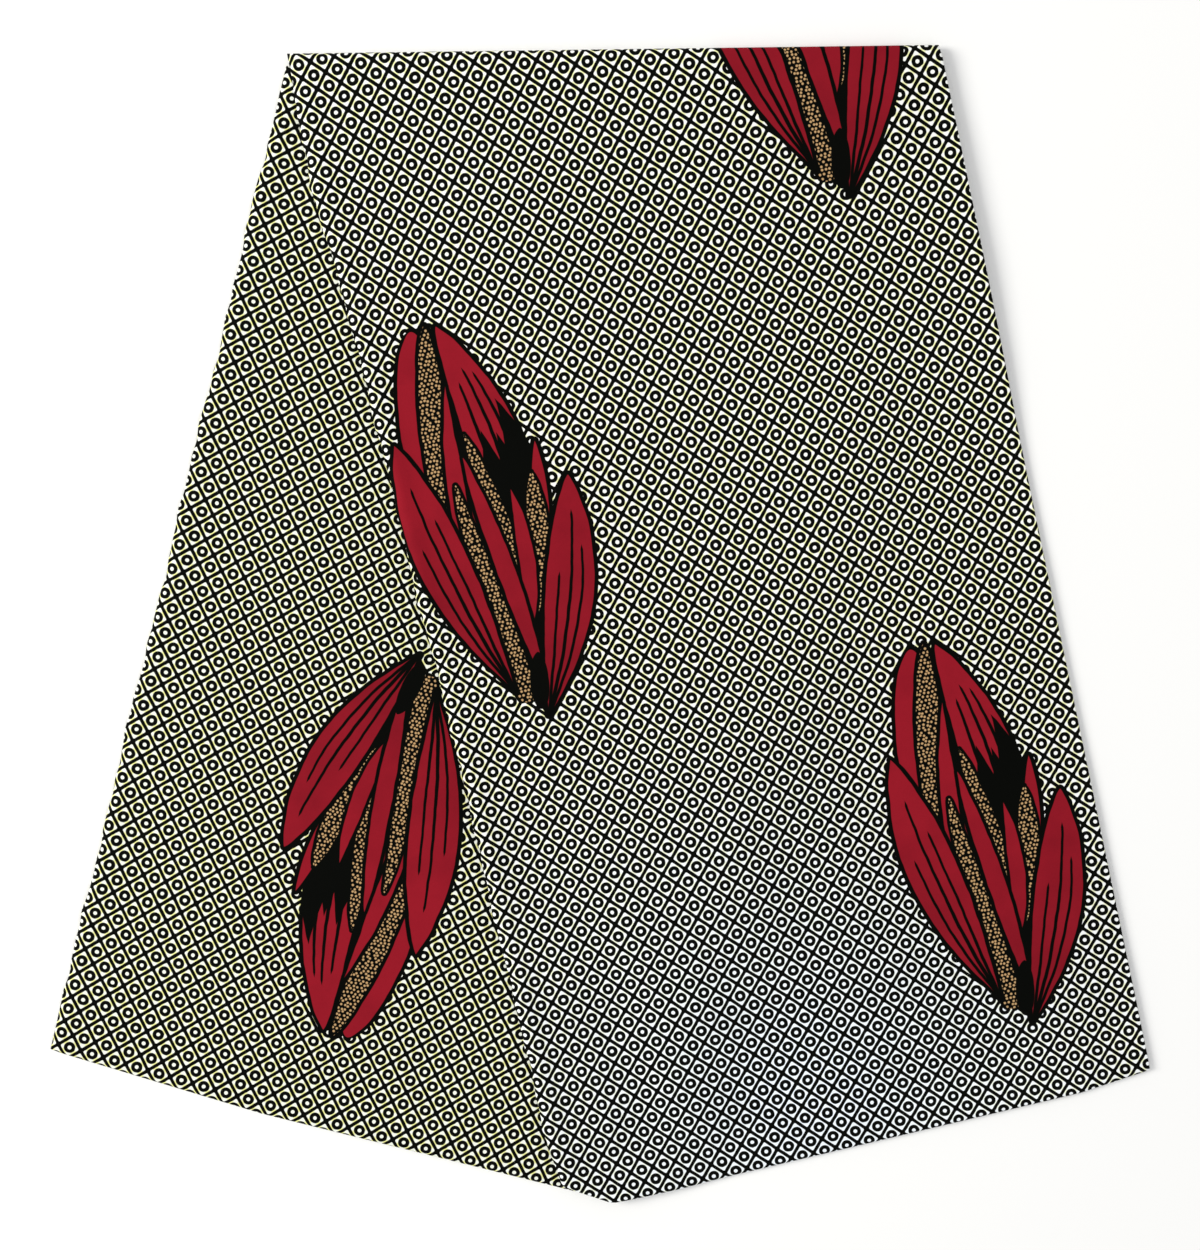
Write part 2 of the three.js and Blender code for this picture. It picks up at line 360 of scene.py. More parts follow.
def lower_shape(spacing):
    sides = {"left": FULL_ROLL, "right": CUT_EDGE, "bottom": HEM_ROLL, "top": CUT_EDGE}
    rows = {"start_along": LOWER_START, "first_row": LOWER_START + FIRST_ROW_IN, "spacing": spacing}
    return half_shape(LOWER, "lower", (lower_top_shown, on_the_table), rows, sides, [])


def roll_level(side, share, wall):
    """Inset and drop on a roll, and the inset of the same place on the flat cloth."""
    angle = math.radians(side["end"]) * share
    steps = angle * (np.arange(ARC_STEPS) + 0.5) / ARC_STEPS
    arc = angle * np.hypot(side["radius"] * np.cos(steps), side["half_depth"] * np.sin(steps)).mean()
    return {
        "inset": wall + (side["radius"] - wall) * (1 - math.sin(angle)),
        "drop": wall + (side["half_depth"] - wall) * (1 - math.cos(angle)),
        "flat": side["radius"] - arc,
    }


def ply_levels(shape):
    """Down the outer skin of the outer ply, and back up its inner skin."""
    shares = [step / ROLL_STEPS for step in range(ROLL_STEPS + 1)]
    sides = shape["sides"].items()
    outer = [{name: roll_level(side, share, 0) for name, side in sides} for share in shares]
    inner = [{name: roll_level(side, share, PLY) for name, side in sides} for share in reversed(shares)]
    return outer, inner


def cut_ply_profile():
    """Inset and drop down a side where each hidden ply ends in a cut edge."""
    half = PLY / 2
    places = []
    for ply in HIDDEN_PLIES:
        back = ply["back"]
        depth = ply["depth"]
        places += [
            (PLY_GAP_DEPTH, depth - PLY_GAP),
            (back + half, depth),
            (back, depth + half),
            (back + half, depth + PLY),
            (PLY_GAP_DEPTH, depth + PLY + PLY_GAP),
        ]
    places[-1] = (places[-1][0], HALF_STACK)
    return places


def folded_ply_profile():
    """Inset and drop down a side where the hidden plies turn back in two noses, over one cut edge."""
    places = []
    for nose in NOSES:
        for share in np.linspace(NOSE["first"], NOSE["last"], NOSE["steps"]).tolist():
            drop = NOSE["radius"] * (1 - math.cos(math.pi * share))
            in_by = NOSE["stretch"] * NOSE["radius"] * (1 - math.sin(math.pi * share))
            places.append((nose["back"] + in_by, nose["depth"] + drop))
    return places + UNDER_NOSES


def inside_profile(side, count):
    """Inset and drop down a side whose outer ply hides the rest."""
    last = 2 * side["half_depth"] - CORE_CLEARANCE if side is TOP_ROLL else HALF_STACK
    places = []
    for step in range(count):
        drop = CORE_CLEARANCE + (last - CORE_CLEARANCE) * step / (count - 1)
        reach = side["half_depth"] - CORE_CLEARANCE
        off = min(abs(drop - side["half_depth"]) / reach, 1)
        round_in = (side["radius"] - CORE_CLEARANCE) * (1 - math.sqrt(1 - off * off))
        places.append((CORE_CLEARANCE + round_in, drop))
    return places


def with_flat(places):
    """The levels of a profile, each with the inset of the same place on the flat cloth."""
    flat = places[0][0]
    levels = []
    before = places[0]
    for place in places:
        flat -= math.dist(before, place)
        levels.append({"inset": place[0], "drop": place[1], "flat": flat})
        before = place
    return levels


def layer_levels(shape):
    """Down the edges of the hidden plies."""
    cut = cut_ply_profile()
    profiles = {
        "left": inside_profile(FULL_ROLL, len(cut)),
        "right": cut,
        "bottom": folded_ply_profile(),
        "top": inside_profile(shape["sides"]["top"], len(cut)) if shape["name"] == "upper" else cut,
    }
    sides = {name: with_flat(places) for name, places in profiles.items()}
    return [{name: sides[name][k] for name in sides} for k in range(len(cut))]


def waver(shape, across, along):
    """How far to the right the fold's line, and what lies near it, moves from the straight left edge."""
    size = np.zeros(len(along))
    for row in EDGE_WAVER:
        size += row["size"] * np.sin(2 * np.pi * along / row["length"] + row["start"])
    for row in shape["bends"]:
        size += row["size"] * np.exp(-(((along - row["at"]) / row["width"]) ** 2))
    near = np.exp(-((np.maximum(across, 0) / EDGE_WAVER_REACH) ** 2))
    return size * near * calm(shape["half"], across, along)


def level_points(shape, level, i, j, corner_inset=0.0, whole=0.0):
    """Grid nodes on a level: their points, and the same places on the flat cloth in plan.

    i counts across the half and j down it. whole is the least drop that every node takes.
    """
    half = shape["half"]
    columns = shape["columns"]
    last_i = len(columns) + 1
    last_j = shape["rows"] + 3
    at_corner = ((i <= 1) | (i >= last_i - 1)) & ((j <= 1) | (j >= last_j - 1))

    def place(key):
        inset = {}
        for name in ("left", "right", "top", "bottom"):
            value = level[name][key]
            inset[name] = np.where(at_corner, max(value, corner_inset), value) if key == "inset" else value
        across = columns[np.clip(i - 1, 0, last_i - 2)]
        across = np.where(i == 0, inset["left"] * shape["stretch"], across)
        across = np.where(i == last_i, TOP_FOLD["length"] - inset["right"] * shape["stretch"], across)
        reach = reach_of(half, np.clip(across, 0, TOP_FOLD["length"]))
        second = shape["first_row"] + INNER_EDGE
        last = reach - INNER_EDGE
        along = second + (last - second) * (j - 2) / (last_j - 3)
        along = np.where(j == 1, shape["first_row"], along)
        along = np.where(j == 0, shape["start_along"] + inset["top"], along)
        along = np.where(j == last_j, reach - inset["bottom"], along)
        return across, along

    across, along = place("inset")
    aside = waver(shape, across, along)
    flat_across, flat_along = place("flat")
    flat = plan_point(half, flat_across + aside, flat_along)
    drop = np.full(len(i), whole)
    for name, edge in (("left", i == 0), ("right", i == last_i), ("top", j == 0), ("bottom", j == last_j)):
        drop = np.where(edge, np.maximum(drop, level[name]["drop"]), drop)
    points = plan_point(half, across + aside, along)
    inside = np.clip(across, 0, TOP_FOLD["length"])
    top = shape["top"](inside, along)
    base = shape["base"](inside, along)
    round_fold = (j == 0) & (shape["sides"]["top"] is TOP_ROLL)
    height = np.where(
        round_fold,
        top * (1 - drop / (2 * TOP_ROLL["half_depth"])),
        top - (top - base) * np.minimum(drop / HALF_STACK, 1),
    )
    return np.column_stack([points, np.maximum(height, 0)]), flat


def edge_nodes(last_i, last_j):
    """Round the edge of the grid: down the left, along the bottom, up the right and back along the top."""
    nodes = [(0, j) for j in range(last_j)]
    nodes += [(i, last_j) for i in range(last_i)]
    nodes += [(last_i, j) for j in range(last_j, 0, -1)]
    nodes += [(i, 0) for i in range(last_i, 0, -1)]
    return np.array(nodes)


class Skin:
    """Collects points, faces and the flat place of each face's corners."""

    def __init__(self, shape):
        self.shape = shape
        self.last_i = len(shape["columns"]) + 1
        self.last_j = shape["rows"] + 3
        self.edge = edge_nodes(self.last_i, self.last_j)
        self.points = []
        self.count = 0
        self.faces = []
        self.flats = []
        self.sides = []

    def add_points(self, points):
        start = self.count
        self.points.append(points)
        self.count += len(points)
        return start

    def add_faces(self, corners, flats, side):
        self.faces.append(corners)
        self.flats.append(flats)
        self.sides.append(np.full(len(corners), side))

    def whole_grid(self, level, up, side, corner_inset=0.0, whole=0.0):
        j, i = np.meshgrid(np.arange(self.last_j + 1), np.arange(self.last_i + 1), indexing="ij")
        i, j = i.ravel(), j.ravel()
        points, flat = level_points(self.shape, level, i, j, corner_inset, whole)
        start = self.add_points(points)
        width = self.last_i + 1
        jj, ii = np.meshgrid(np.arange(self.last_j), np.arange(self.last_i), indexing="ij")
        a = (jj * width + ii).ravel()
        corners = np.column_stack([a, a + width, a + width + 1, a + 1])
        if not up:
            corners = corners[:, ::-1]
        self.add_faces(corners + start, flat[corners], side)
        ring = self.edge[:, 1] * width + self.edge[:, 0]
        return ring + start, flat[ring]

    def ring(self, level, corner_inset=0.0):
        points, flat = level_points(self.shape, level, self.edge[:, 0], self.edge[:, 1], corner_inset)
        start = self.add_points(points)
        return np.arange(len(points)) + start, flat

    def join(self, upper, lower, side):
        corners, flats = [], []
        for (index, flat), turn in ((upper, 0), (lower, 0), (lower, -1), (upper, -1)):
            corners.append(np.roll(index, turn))
            flats.append(np.roll(flat, turn, axis=0))
        self.add_faces(np.column_stack(corners), np.stack(flats, axis=1), side)


def outer_ply_skin(shape):
    skin = Skin(shape)
    outer, inner = ply_levels(shape)
    ring = skin.whole_grid(outer[0], True, "face")
    for level in outer[1:]:
        lower = skin.ring(level)
        skin.join(ring, lower, "face")
        ring = lower
    turned_in = {name: dict(side, flat=side["flat"] - PLY) for name, side in inner[0].items()}
    lower = skin.ring(inner[0])
    _, cap_flat = level_points(shape, turned_in, skin.edge[:, 0], skin.edge[:, 1])
    skin.join(ring, (lower[0], cap_flat), "face")
    ring = lower
    for level in inner[1:-1]:
        lower = skin.ring(level)
        skin.join(ring, lower, "back")
        ring = lower
    last = skin.whole_grid(inner[-1], False, "back", whole=PLY)
    skin.join(ring, last, "back")
    return skin


def hidden_plies_skin(shape):
    skin = Skin(shape)
    levels = layer_levels(shape)
    ring = skin.whole_grid(levels[0], True, "back", CORNER_INSET, whole=CORE_CLEARANCE)
    for level in levels[1:-1]:
        lower = skin.ring(level, CORNER_INSET)
        skin.join(ring, lower, "face")
        ring = lower
    last = skin.whole_grid(levels[-1], False, "under", CORNER_INSET, whole=HALF_STACK)
    skin.join(ring, last, "face")
    return skin


# ---- from places on the flat cloth to the print and the buds ----
def drift(terms, place):
    """How far the cells have slid at a place, given in decimetres from the print's centre."""
    x = place[..., 0]
    y = place[..., 1]
    return terms[0] * x**2 + terms[1] * x * y + terms[2] * y**2


def print_cells(pattern, flat):
    """Which cell of the print a flat place lies in: a ring's middle is where both numbers are whole."""
    across = pattern["across"] * direction(pattern["across_turn"])
    along = pattern["along"] * direction(pattern["along_turn"])
    ring = np.array(pattern["ring"])
    centre = np.array(pattern["centre"])
    s, t = shares_of(flat - ring, across, along)
    here = (flat - centre) / DECIMETRE
    start = (ring - centre) / DECIMETRE
    a = (s + t) / 2 + drift(pattern["drift_a"], here) - drift(pattern["drift_a"], start)
    b = (s - t) / 2 + drift(pattern["drift_b"], here) - drift(pattern["drift_b"], start)
    return np.stack([a, b], axis=-1)


def bud_place(bud, flat):
    """A flat place in a bud's own frame: 0 to 1 across it from the left, and 0 to 1 up it."""
    foot = np.array(bud["foot"])
    up = np.array(bud["tip"]) - foot
    scale = BUD_LENGTH / np.linalg.norm(up)
    up = up / np.linalg.norm(up)
    right = np.array([up[1], -up[0]])
    offset = (flat - foot) * scale
    across = (offset @ right - BUD_FRAME["left"]) / BUD_FRAME["width"]
    along = (offset @ up - BUD_FRAME["foot"]) / BUD_FRAME["length"]
    return np.stack([across, along], axis=-1)


def bud_faces(buds, flats, printed):
    """For each face: its corners in the frame of the bud it lies in, and whether it lies in one.

    printed: whether the face is on a side that the buds are printed on.
    """
    places = np.full(flats.shape, -1.0)
    inside = np.zeros(len(flats), bool)
    for bud in buds:
        local = bud_place(bud, flats)
        middle = local.mean(axis=1)
        hit = np.all((middle > 0) & (middle < 1), axis=1) & printed & ~inside
        places[hit] = local[hit]
        inside |= hit
    return places, inside


def bake_map(shape, flats):
    """The map for baking: 0 to 1 across the half with its margins, and 0 to 1 down it."""
    across, along = half_place(shape["half"], flats)
    u = (across + MAP_MARGIN) / (TOP_FOLD["length"] + 2 * MAP_MARGIN)
    v = (along + MAP_MARGIN) / (max(shape["half"]["length"]) + 2 * MAP_MARGIN)
    return u, v


def build_mesh(name, skin, kind, pattern, buds, materials):
    """A piece with its four maps: for baking, for the print, for the buds and for the threads."""
    faces = np.concatenate(skin.faces)
    flats = np.concatenate(skin.flats)
    sides = np.concatenate(skin.sides)
    points = np.concatenate(skin.points) * MM
    mesh = bpy.data.meshes.new(name)
    mesh.from_pydata(points.tolist(), [], faces.tolist())
    places, in_bud = bud_faces(buds, flats, np.isin(sides, kind["bud_sides"]))
    u, v = bake_map(skin.shape, flats)
    low = np.array([kind["map"][side][0] for side in sides])[:, None]
    high = np.array([kind["map"][side][1] for side in sides])[:, None]
    baked = np.stack([low + (high - low) * u, v], axis=-1)
    layers = {
        "OFBake": baked,
        "print": print_cells(pattern, flats),
        "bud": places,
        "thread": flats / CENTIMETRE,
    }
    for layer, values in layers.items():
        uv = mesh.uv_layers.new(name=layer)
        uv.data.foreach_set("uv", values.reshape(-1).astype(np.float32))
    for material in materials:
        mesh.materials.append(material)
    mesh.polygons.foreach_set("material_index", in_bud.astype(np.int32))
    mesh.polygons.foreach_set("use_smooth", np.ones(len(faces), bool))
    mesh.validate()
    mesh.update()
    piece = bpy.data.objects.new(name, mesh)
    bpy.context.scene.collection.objects.link(piece)
    return piece


# ---- materials ----
class Term:
    """A number in a node tree, so that a pattern reads as arithmetic."""

    def __init__(self, tree, socket):
        self.tree = tree
        self.socket = socket

    def math(self, operation, *others, clamp=False):
        node = self.tree.nodes.new("ShaderNodeMath")
        node.operation = operation
        node.use_clamp = clamp
        for slot, value in enumerate((self, *others)):
            if isinstance(value, Term):
                self.tree.links.new(value.socket, node.inputs[slot])
            else:
                node.inputs[slot].default_value = value
        return Term(self.tree, node.outputs[0])

    def __add__(self, other):
        return self.math("ADD", other)

    def __sub__(self, other):
        return self.math("SUBTRACT", other)

    def __mul__(self, other):
        return self.math("MULTIPLY", other)

    def __abs__(self):
        return self.math("ABSOLUTE")

    def least(self, other):
        return self.math("MINIMUM", other)

    def most(self, other):
        return self.math("MAXIMUM", other)

    def over(self, low, high):
        """0 below low and 1 above high, in a straight line between them."""
        scale = 1 / (high - low)
        return self.math("MULTIPLY_ADD", scale, -low * scale, clamp=True)


def uv_terms(tree, layer):
    node = tree.nodes.new("ShaderNodeUVMap")
    node.uv_map = layer
    split = tree.nodes.new("ShaderNodeSeparateXYZ")
    tree.links.new(node.outputs["UV"], split.inputs[0])
    return Term(tree, split.outputs[0]), Term(tree, split.outputs[1]), node.outputs["UV"]


def noise_term(tree, vector, scale, detail):
    node = tree.nodes.new("ShaderNodeTexNoise")
    node.inputs["Scale"].default_value = scale
    node.inputs["Detail"].default_value = detail
    tree.links.new(vector, node.inputs["Vector"])
    return Term(tree, node.outputs["Fac"])


def length_of(x, y):
    return (x * x + y * y).math("SQRT")


def srgb(red, green, blue):
    """A colour given as 0 to 255 on screen, as the numbers that a shader takes."""
    linear = []
    for value in (red, green, blue):
        share = value / 255
        linear.append(share / 12.92 if share <= 0.04045 else ((share + 0.055) / 1.055) ** 2.4)
    return (*linear, 1.0)


def mixed(tree, factor, first, second):
    """A colour between two. Each is a colour's numbers or another node's colour."""
    node = tree.nodes.new("ShaderNodeMix")
    node.data_type = "RGBA"
    tree.links.new(factor.socket, node.inputs[0])
    for slot, value in ((6, first), (7, second)):
        if isinstance(value, tuple):
            node.inputs[slot].default_value = value
        else:
            tree.links.new(value, node.inputs[slot])
    return node.outputs[2]


INK = srgb(5, 6, 4)
INK_THIN = srgb(16, 18, 14)

# Over how many millimetres the edge of a colour is soft.
BLEED = 0.22

# The cloth under the print. Scales are for places in centimetres, and the weave's pitch is in millimetres.
SLUB = {"scale": 3.0, "detail": 3.0, "shade": 0.10, "height": 0.05, "roughness": 0.2}
MOTTLE = {"scale": 0.35, "detail": 3.0, "shade": 0.10}
COCKLE = {"scale": 0.22, "detail": 2.0, "height": 0.5}
WEAVE = {"pitch": 0.62, "height": 0.03}
BUMP_STRENGTH = 0.6
ROUGHNESS = 0.66
ROUGHER_WHITE = 0.12
GLAZE = 0.03


def painted_cool_light_mask(tree, painted_cool_light):
    """1 at the middle of the painted cool light and 0 beyond its reach; the place is in metres on the
    folded cloth.
    """
    place = tree.nodes.new("ShaderNodeTexCoord")
    split = tree.nodes.new("ShaderNodeSeparateXYZ")
    tree.links.new(place.outputs["Object"], split.inputs[0])
    across = Term(tree, split.outputs[0]) - painted_cool_light["middle"][0]
    along = Term(tree, split.outputs[1]) - painted_cool_light["middle"][1]
    return length_of(across, along).over(painted_cool_light["far"], painted_cool_light["near"])


def ground_print(tree, tint):
    """The repeat that covers the cloth: a black ring in each cell of a slanting black grid.

    Gives its colour, and how free of black a place is.
    """
    a, b, cells = uv_terms(tree, "print")
    sway = noise_term(tree, cells, SWAY["scale"], SWAY["detail"]) - 0.5
    jitter = noise_term(tree, cells, JITTER["scale"], JITTER["detail"]) - 0.5
    a = a + sway * SWAY["cells"]
    b = b + jitter * JITTER["cells"]
    a = a - a.math("ROUND")
    b = b - b.math("ROUND")
    x = (a + b) * UPPER_PRINT["across"]
    y = (a - b) * UPPER_PRINT["along"]
    radius = length_of(x, y)
    uneven = jitter * JITTER["ring"]
    middle = (HOLE_RADIUS + RING_RADIUS) / 2
    half_ring = (RING_RADIUS - HOLE_RADIUS) / 2
    from_ring = abs(radius - middle + uneven) - half_ring
    straight = CELL_SIDE / 2 - LINE_HALF - CELL_CORNER
    side_a = abs(a) * CELL_SIDE - straight
    side_b = abs(b) * CELL_SIDE - straight
    round_off = length_of(side_a.most(0.0), side_b.most(0.0))
    past_straight = round_off + side_a.most(side_b).least(0.0)
    from_line = past_straight * -1 + CELL_CORNER + uneven * JITTER["line_share"]
    white = from_ring.least(from_line).over(-BLEED / 2, BLEED / 2)
    past_ring = radius - RING_RADIUS
    gap = past_ring.most(0.0) + from_line
    halo = gap.over(HALO_FAR, HALO_NEAR) * past_ring.over(*HALO_FROM_RING)
    crossing = abs(a).least(abs(b)).over(*CROSSING)
    white_here = tint["white"]
    # Painted cool light: near the upper half's lowest point the white turns bluish and a little dimmer,
    # and the yellow fades.
    if "painted_cool_light" in tint:
        painted_cool_light = painted_cool_light_mask(tree, tint["painted_cool_light"])
        halo = halo * (painted_cool_light * -1 + 1.0)
        white_here = mixed(tree, painted_cool_light, tint["white"], tint["painted_cool_light"]["white"])
    cloth = mixed(tree, halo * tint["halo_strength"], white_here, tint["halo"])
    ink = mixed(tree, crossing, INK, INK_THIN)
    return mixed(tree, white, ink, cloth), white


def finish_cloth(tree, colour, ink_free):
    """Weave, small slubs and a light glaze over the printed colour."""
    u, v, thread = uv_terms(tree, "thread")
    slub = noise_term(tree, thread, SLUB["scale"], SLUB["detail"])
    mottle = noise_term(tree, thread, MOTTLE["scale"], MOTTLE["detail"])
    cockle = noise_term(tree, thread, COCKLE["scale"], COCKLE["detail"])
    shade = tree.nodes.new("ShaderNodeHueSaturation")
    value = (mottle - 0.5) * MOTTLE["shade"] + (slub - 0.5) * SLUB["shade"] + 1.0
    tree.links.new(value.socket, shade.inputs["Value"])
    tree.links.new(colour, shade.inputs["Color"])
    turns = 2 * math.pi * CENTIMETRE / WEAVE["pitch"]
    weave = (u * turns).math("SINE") * (v * turns).math("SINE")
    height = weave * WEAVE["height"] + slub * SLUB["height"] + cockle * COCKLE["height"]
    bump = tree.nodes.new("ShaderNodeBump")
    bump.inputs["Strength"].default_value = BUMP_STRENGTH
    bump.inputs["Distance"].default_value = MM
    tree.links.new(height.socket, bump.inputs["Height"])
    shader = tree.nodes.new("ShaderNodeBsdfPrincipled")
    tree.links.new(shade.outputs[0], shader.inputs["Base Color"])
    tree.links.new(bump.outputs[0], shader.inputs["Normal"])
    roughness = (slub - 0.5) * SLUB["roughness"] + ink_free * ROUGHER_WHITE + ROUGHNESS
    tree.links.new(roughness.socket, shader.inputs["Roughness"])
    shader.inputs["Specular IOR Level"].default_value = GLAZE
    out = tree.nodes.new("ShaderNodeOutputMaterial")
    tree.links.new(shader.outputs[0], out.inputs["Surface"])


def new_tree(name):
    material = bpy.data.materials.new(name)
    material.use_nodes = True
    material.node_tree.nodes.clear()
    return material, material.node_tree


# The bud is drawn from petals, the ones at the back first. Each is a leaf shape in the bud's own frame, in
# millimetres: a middle line from its foot to its tip, both given as (across, up), which bend pushes
# sideways, and half, its greatest half width. A smaller taper makes that end rounder. edge is its black
# outline. Veins run beside the middle line at a share of the half width, from the foot to a share of the
# length, and spread is how fast a vein widens towards the foot.
BUD_PETALS = [
    {"name": "shade", "print": "black", "foot": (0, 0), "tip": (0, 366), "half": 46, "bend": 8,
     "tapers": (1.0, 0.8), "edge": 0},
    {"name": "back_left", "print": "red", "foot": (-10, 40), "tip": (-16, 368), "half": 24, "bend": -18,
     "tapers": (0.9, 0.55), "edge": 4},
    {"name": "back_right", "print": "red", "foot": (12, 70), "tip": (8, 366), "half": 25, "bend": 20,
     "tapers": (0.9, 0.8), "edge": 4},
    {"name": "back_dots", "print": "dots", "foot": (-36, 120), "tip": (-2, 370), "half": 13, "bend": -6,
     "tapers": (0.6, 0.6), "edge": 3.5},
    {"name": "side_tip", "print": "red", "foot": (24, 110), "tip": (64, 242), "half": 9, "bend": 4,
     "tapers": (0.8, 0.9), "edge": 4},
    {"name": "side_dots", "print": "dots", "foot": (20, 90), "tip": (52, 216), "half": 10, "bend": 4,
     "tapers": (0.8, 0.7), "edge": 3},
    {"name": "inner_left", "print": "red", "foot": (-26, 110), "tip": (0, 312), "half": 8, "bend": -6,
     "tapers": (0.8, 1.0), "edge": 3.5},
    {"name": "right_dots", "print": "dots", "foot": (10, 60), "tip": (4, 266), "half": 10, "bend": 4,
     "tapers": (0.8, 0.8), "edge": 3},
    {"name": "inner_right", "print": "red", "foot": (12, 80), "tip": (30, 206), "half": 7, "bend": 5,
     "tapers": (0.8, 0.9), "edge": 3},
    {"name": "left_dots", "print": "dots", "foot": (-10, 14), "tip": (-18, 224), "half": 10.5, "bend": -2,
     "tapers": (0.2, 0.6), "edge": 3},
    {"name": "middle", "print": "red", "foot": (8, 30), "tip": (-4, 246), "half": 8, "bend": 2,
     "tapers": (0.8, 0.8), "edge": 3.5},
    {"name": "front_left", "print": "red", "foot": (-20, 26), "tip": (-60, 274), "half": 23, "bend": -8,
     "tapers": (1.1, 0.9), "edge": 4},
    {"name": "front_right", "print": "red", "foot": (3, -3), "tip": (84, 204), "half": 22, "bend": 10,
     "tapers": (1.0, 0.85), "edge": 4},
    {"name": "heel", "print": "black", "foot": (-2, 4), "tip": (10, 56), "half": 9, "bend": 0,
     "tapers": (0.5, 0.6), "edge": 0},
]
BUD_VEINS = {
    "back_right": [
        {"at": -0.45, "to": 0.82, "spread": 0.01},
        {"at": 0.05, "to": 0.86, "spread": 0.01},
        {"at": 0.5, "to": 0.84, "spread": 0.01},
        {"at": -0.35, "to": 0.66, "spread": 0.25},
        {"at": 0.2, "to": 0.64, "spread": 0.25},
        {"at": 0.75, "to": 0.74, "spread": 0.25},
    ],
    "front_left": [
        {"at": -0.5, "to": 0.62, "spread": 0.003},
        {"at": 0.0, "to": 0.84, "spread": 0.004},
        {"at": 0.46, "to": 0.7, "spread": 0.003},
    ],
    "front_right": [
        {"at": -0.46, "to": 0.6, "spread": 0.003},
        {"at": 0.04, "to": 0.86, "spread": 0.004},
        {"at": 0.5, "to": 0.72, "spread": 0.003},
    ],
}
VEIN_HALF = 1.15
VEIN_TIP = 0.25
BUD_SWAY = {"scale": 0.035, "detail": 2.0, "size": 3.0}
DOT_SPACING = 3.9
DOT_ROW = 0.866
DOT_RADIUS = 1.15
DOT_RANDOMNESS = 0.5

# The red is deeper in soft spots, and from the first height above the foot down to the second.
RED_DEPTH = {"scale": 0.02, "detail": 3.0, "amount": 1.6, "heights": (250, 20), "near_foot": 0.7}

# A dot is lighter in its middle, and has its own colour from the second distance on.
DOT_LIGHT = (0.2, 1.2)
RED = srgb(146, 24, 38)
RED_DEEP = srgb(122, 18, 31)
OCHRE = srgb(172, 138, 96)
OCHRE_LIGHT = srgb(200, 164, 116)


def leaf(across, up, petal):
    """The way along a petal and its length, its half width there, and the place's offset from its middle.

    The last term is how far the place lies beyond either end.
    """
    foot_across, foot_up = petal["foot"]
    run = petal["tip"][0] - foot_across
    rise = petal["tip"][1] - foot_up
    length = math.hypot(run, rise)
    from_across = across - foot_across
    from_up = up - foot_up
    way = from_across * (run / length) + from_up * (rise / length)
    offset = from_across * (rise / length) - from_up * (run / length)
    share = way.math("MULTIPLY", 1 / length, clamp=True)
    rest = share * -1 + 1.0
    offset = offset - share * rest * (4 * petal["bend"])
    foot_taper, tip_taper = petal["tapers"]
    fullest = foot_taper / (foot_taper + tip_taper)
    greatest = fullest**foot_taper * (1 - fullest) ** tip_taper
    half = share.math("POWER", foot_taper) * rest.math("POWER", tip_taper) * (petal["half"] / greatest)
    beyond = (way * -1).most(way - length).most(0.0)
    return way, length, half, offset, beyond


def vein_depth(way, length, half, offset, vein):
    """How far inside a vein a place lies: it is pointed at its tip and widens towards the foot."""
    to_tip = way * -1 + vein["to"] * length
    wide = to_tip.math("MULTIPLY_ADD", vein["spread"], VEIN_HALF).least(to_tip * VEIN_TIP)
    return wide - abs(offset - half * vein["at"])


def dot_distance(tree, across, up):
    """How far a place lies from the middle of its dot. Dots stand in uneven rows, each half a step on."""
    row = up * (1 / (DOT_SPACING * DOT_ROW))
    step = across * (1 / DOT_SPACING) - row * 0.5
    cell = tree.nodes.new("ShaderNodeCombineXYZ")
    tree.links.new(step.socket, cell.inputs[0])
    tree.links.new(row.socket, cell.inputs[1])
    node = tree.nodes.new("ShaderNodeTexVoronoi")
    node.voronoi_dimensions = "2D"
    node.inputs["Scale"].default_value = 1.0
    node.inputs["Randomness"].default_value = DOT_RANDOMNESS
    tree.links.new(cell.outputs[0], node.inputs["Vector"])
    split = tree.nodes.new("ShaderNodeSeparateXYZ")
    tree.links.new(node.outputs["Position"], split.inputs[0])
    from_row = row - Term(tree, split.outputs[1])
    from_step = step - Term(tree, split.outputs[0])
    return length_of((from_step + from_row * 0.5) * DOT_SPACING, from_row * (DOT_SPACING * DOT_ROW))


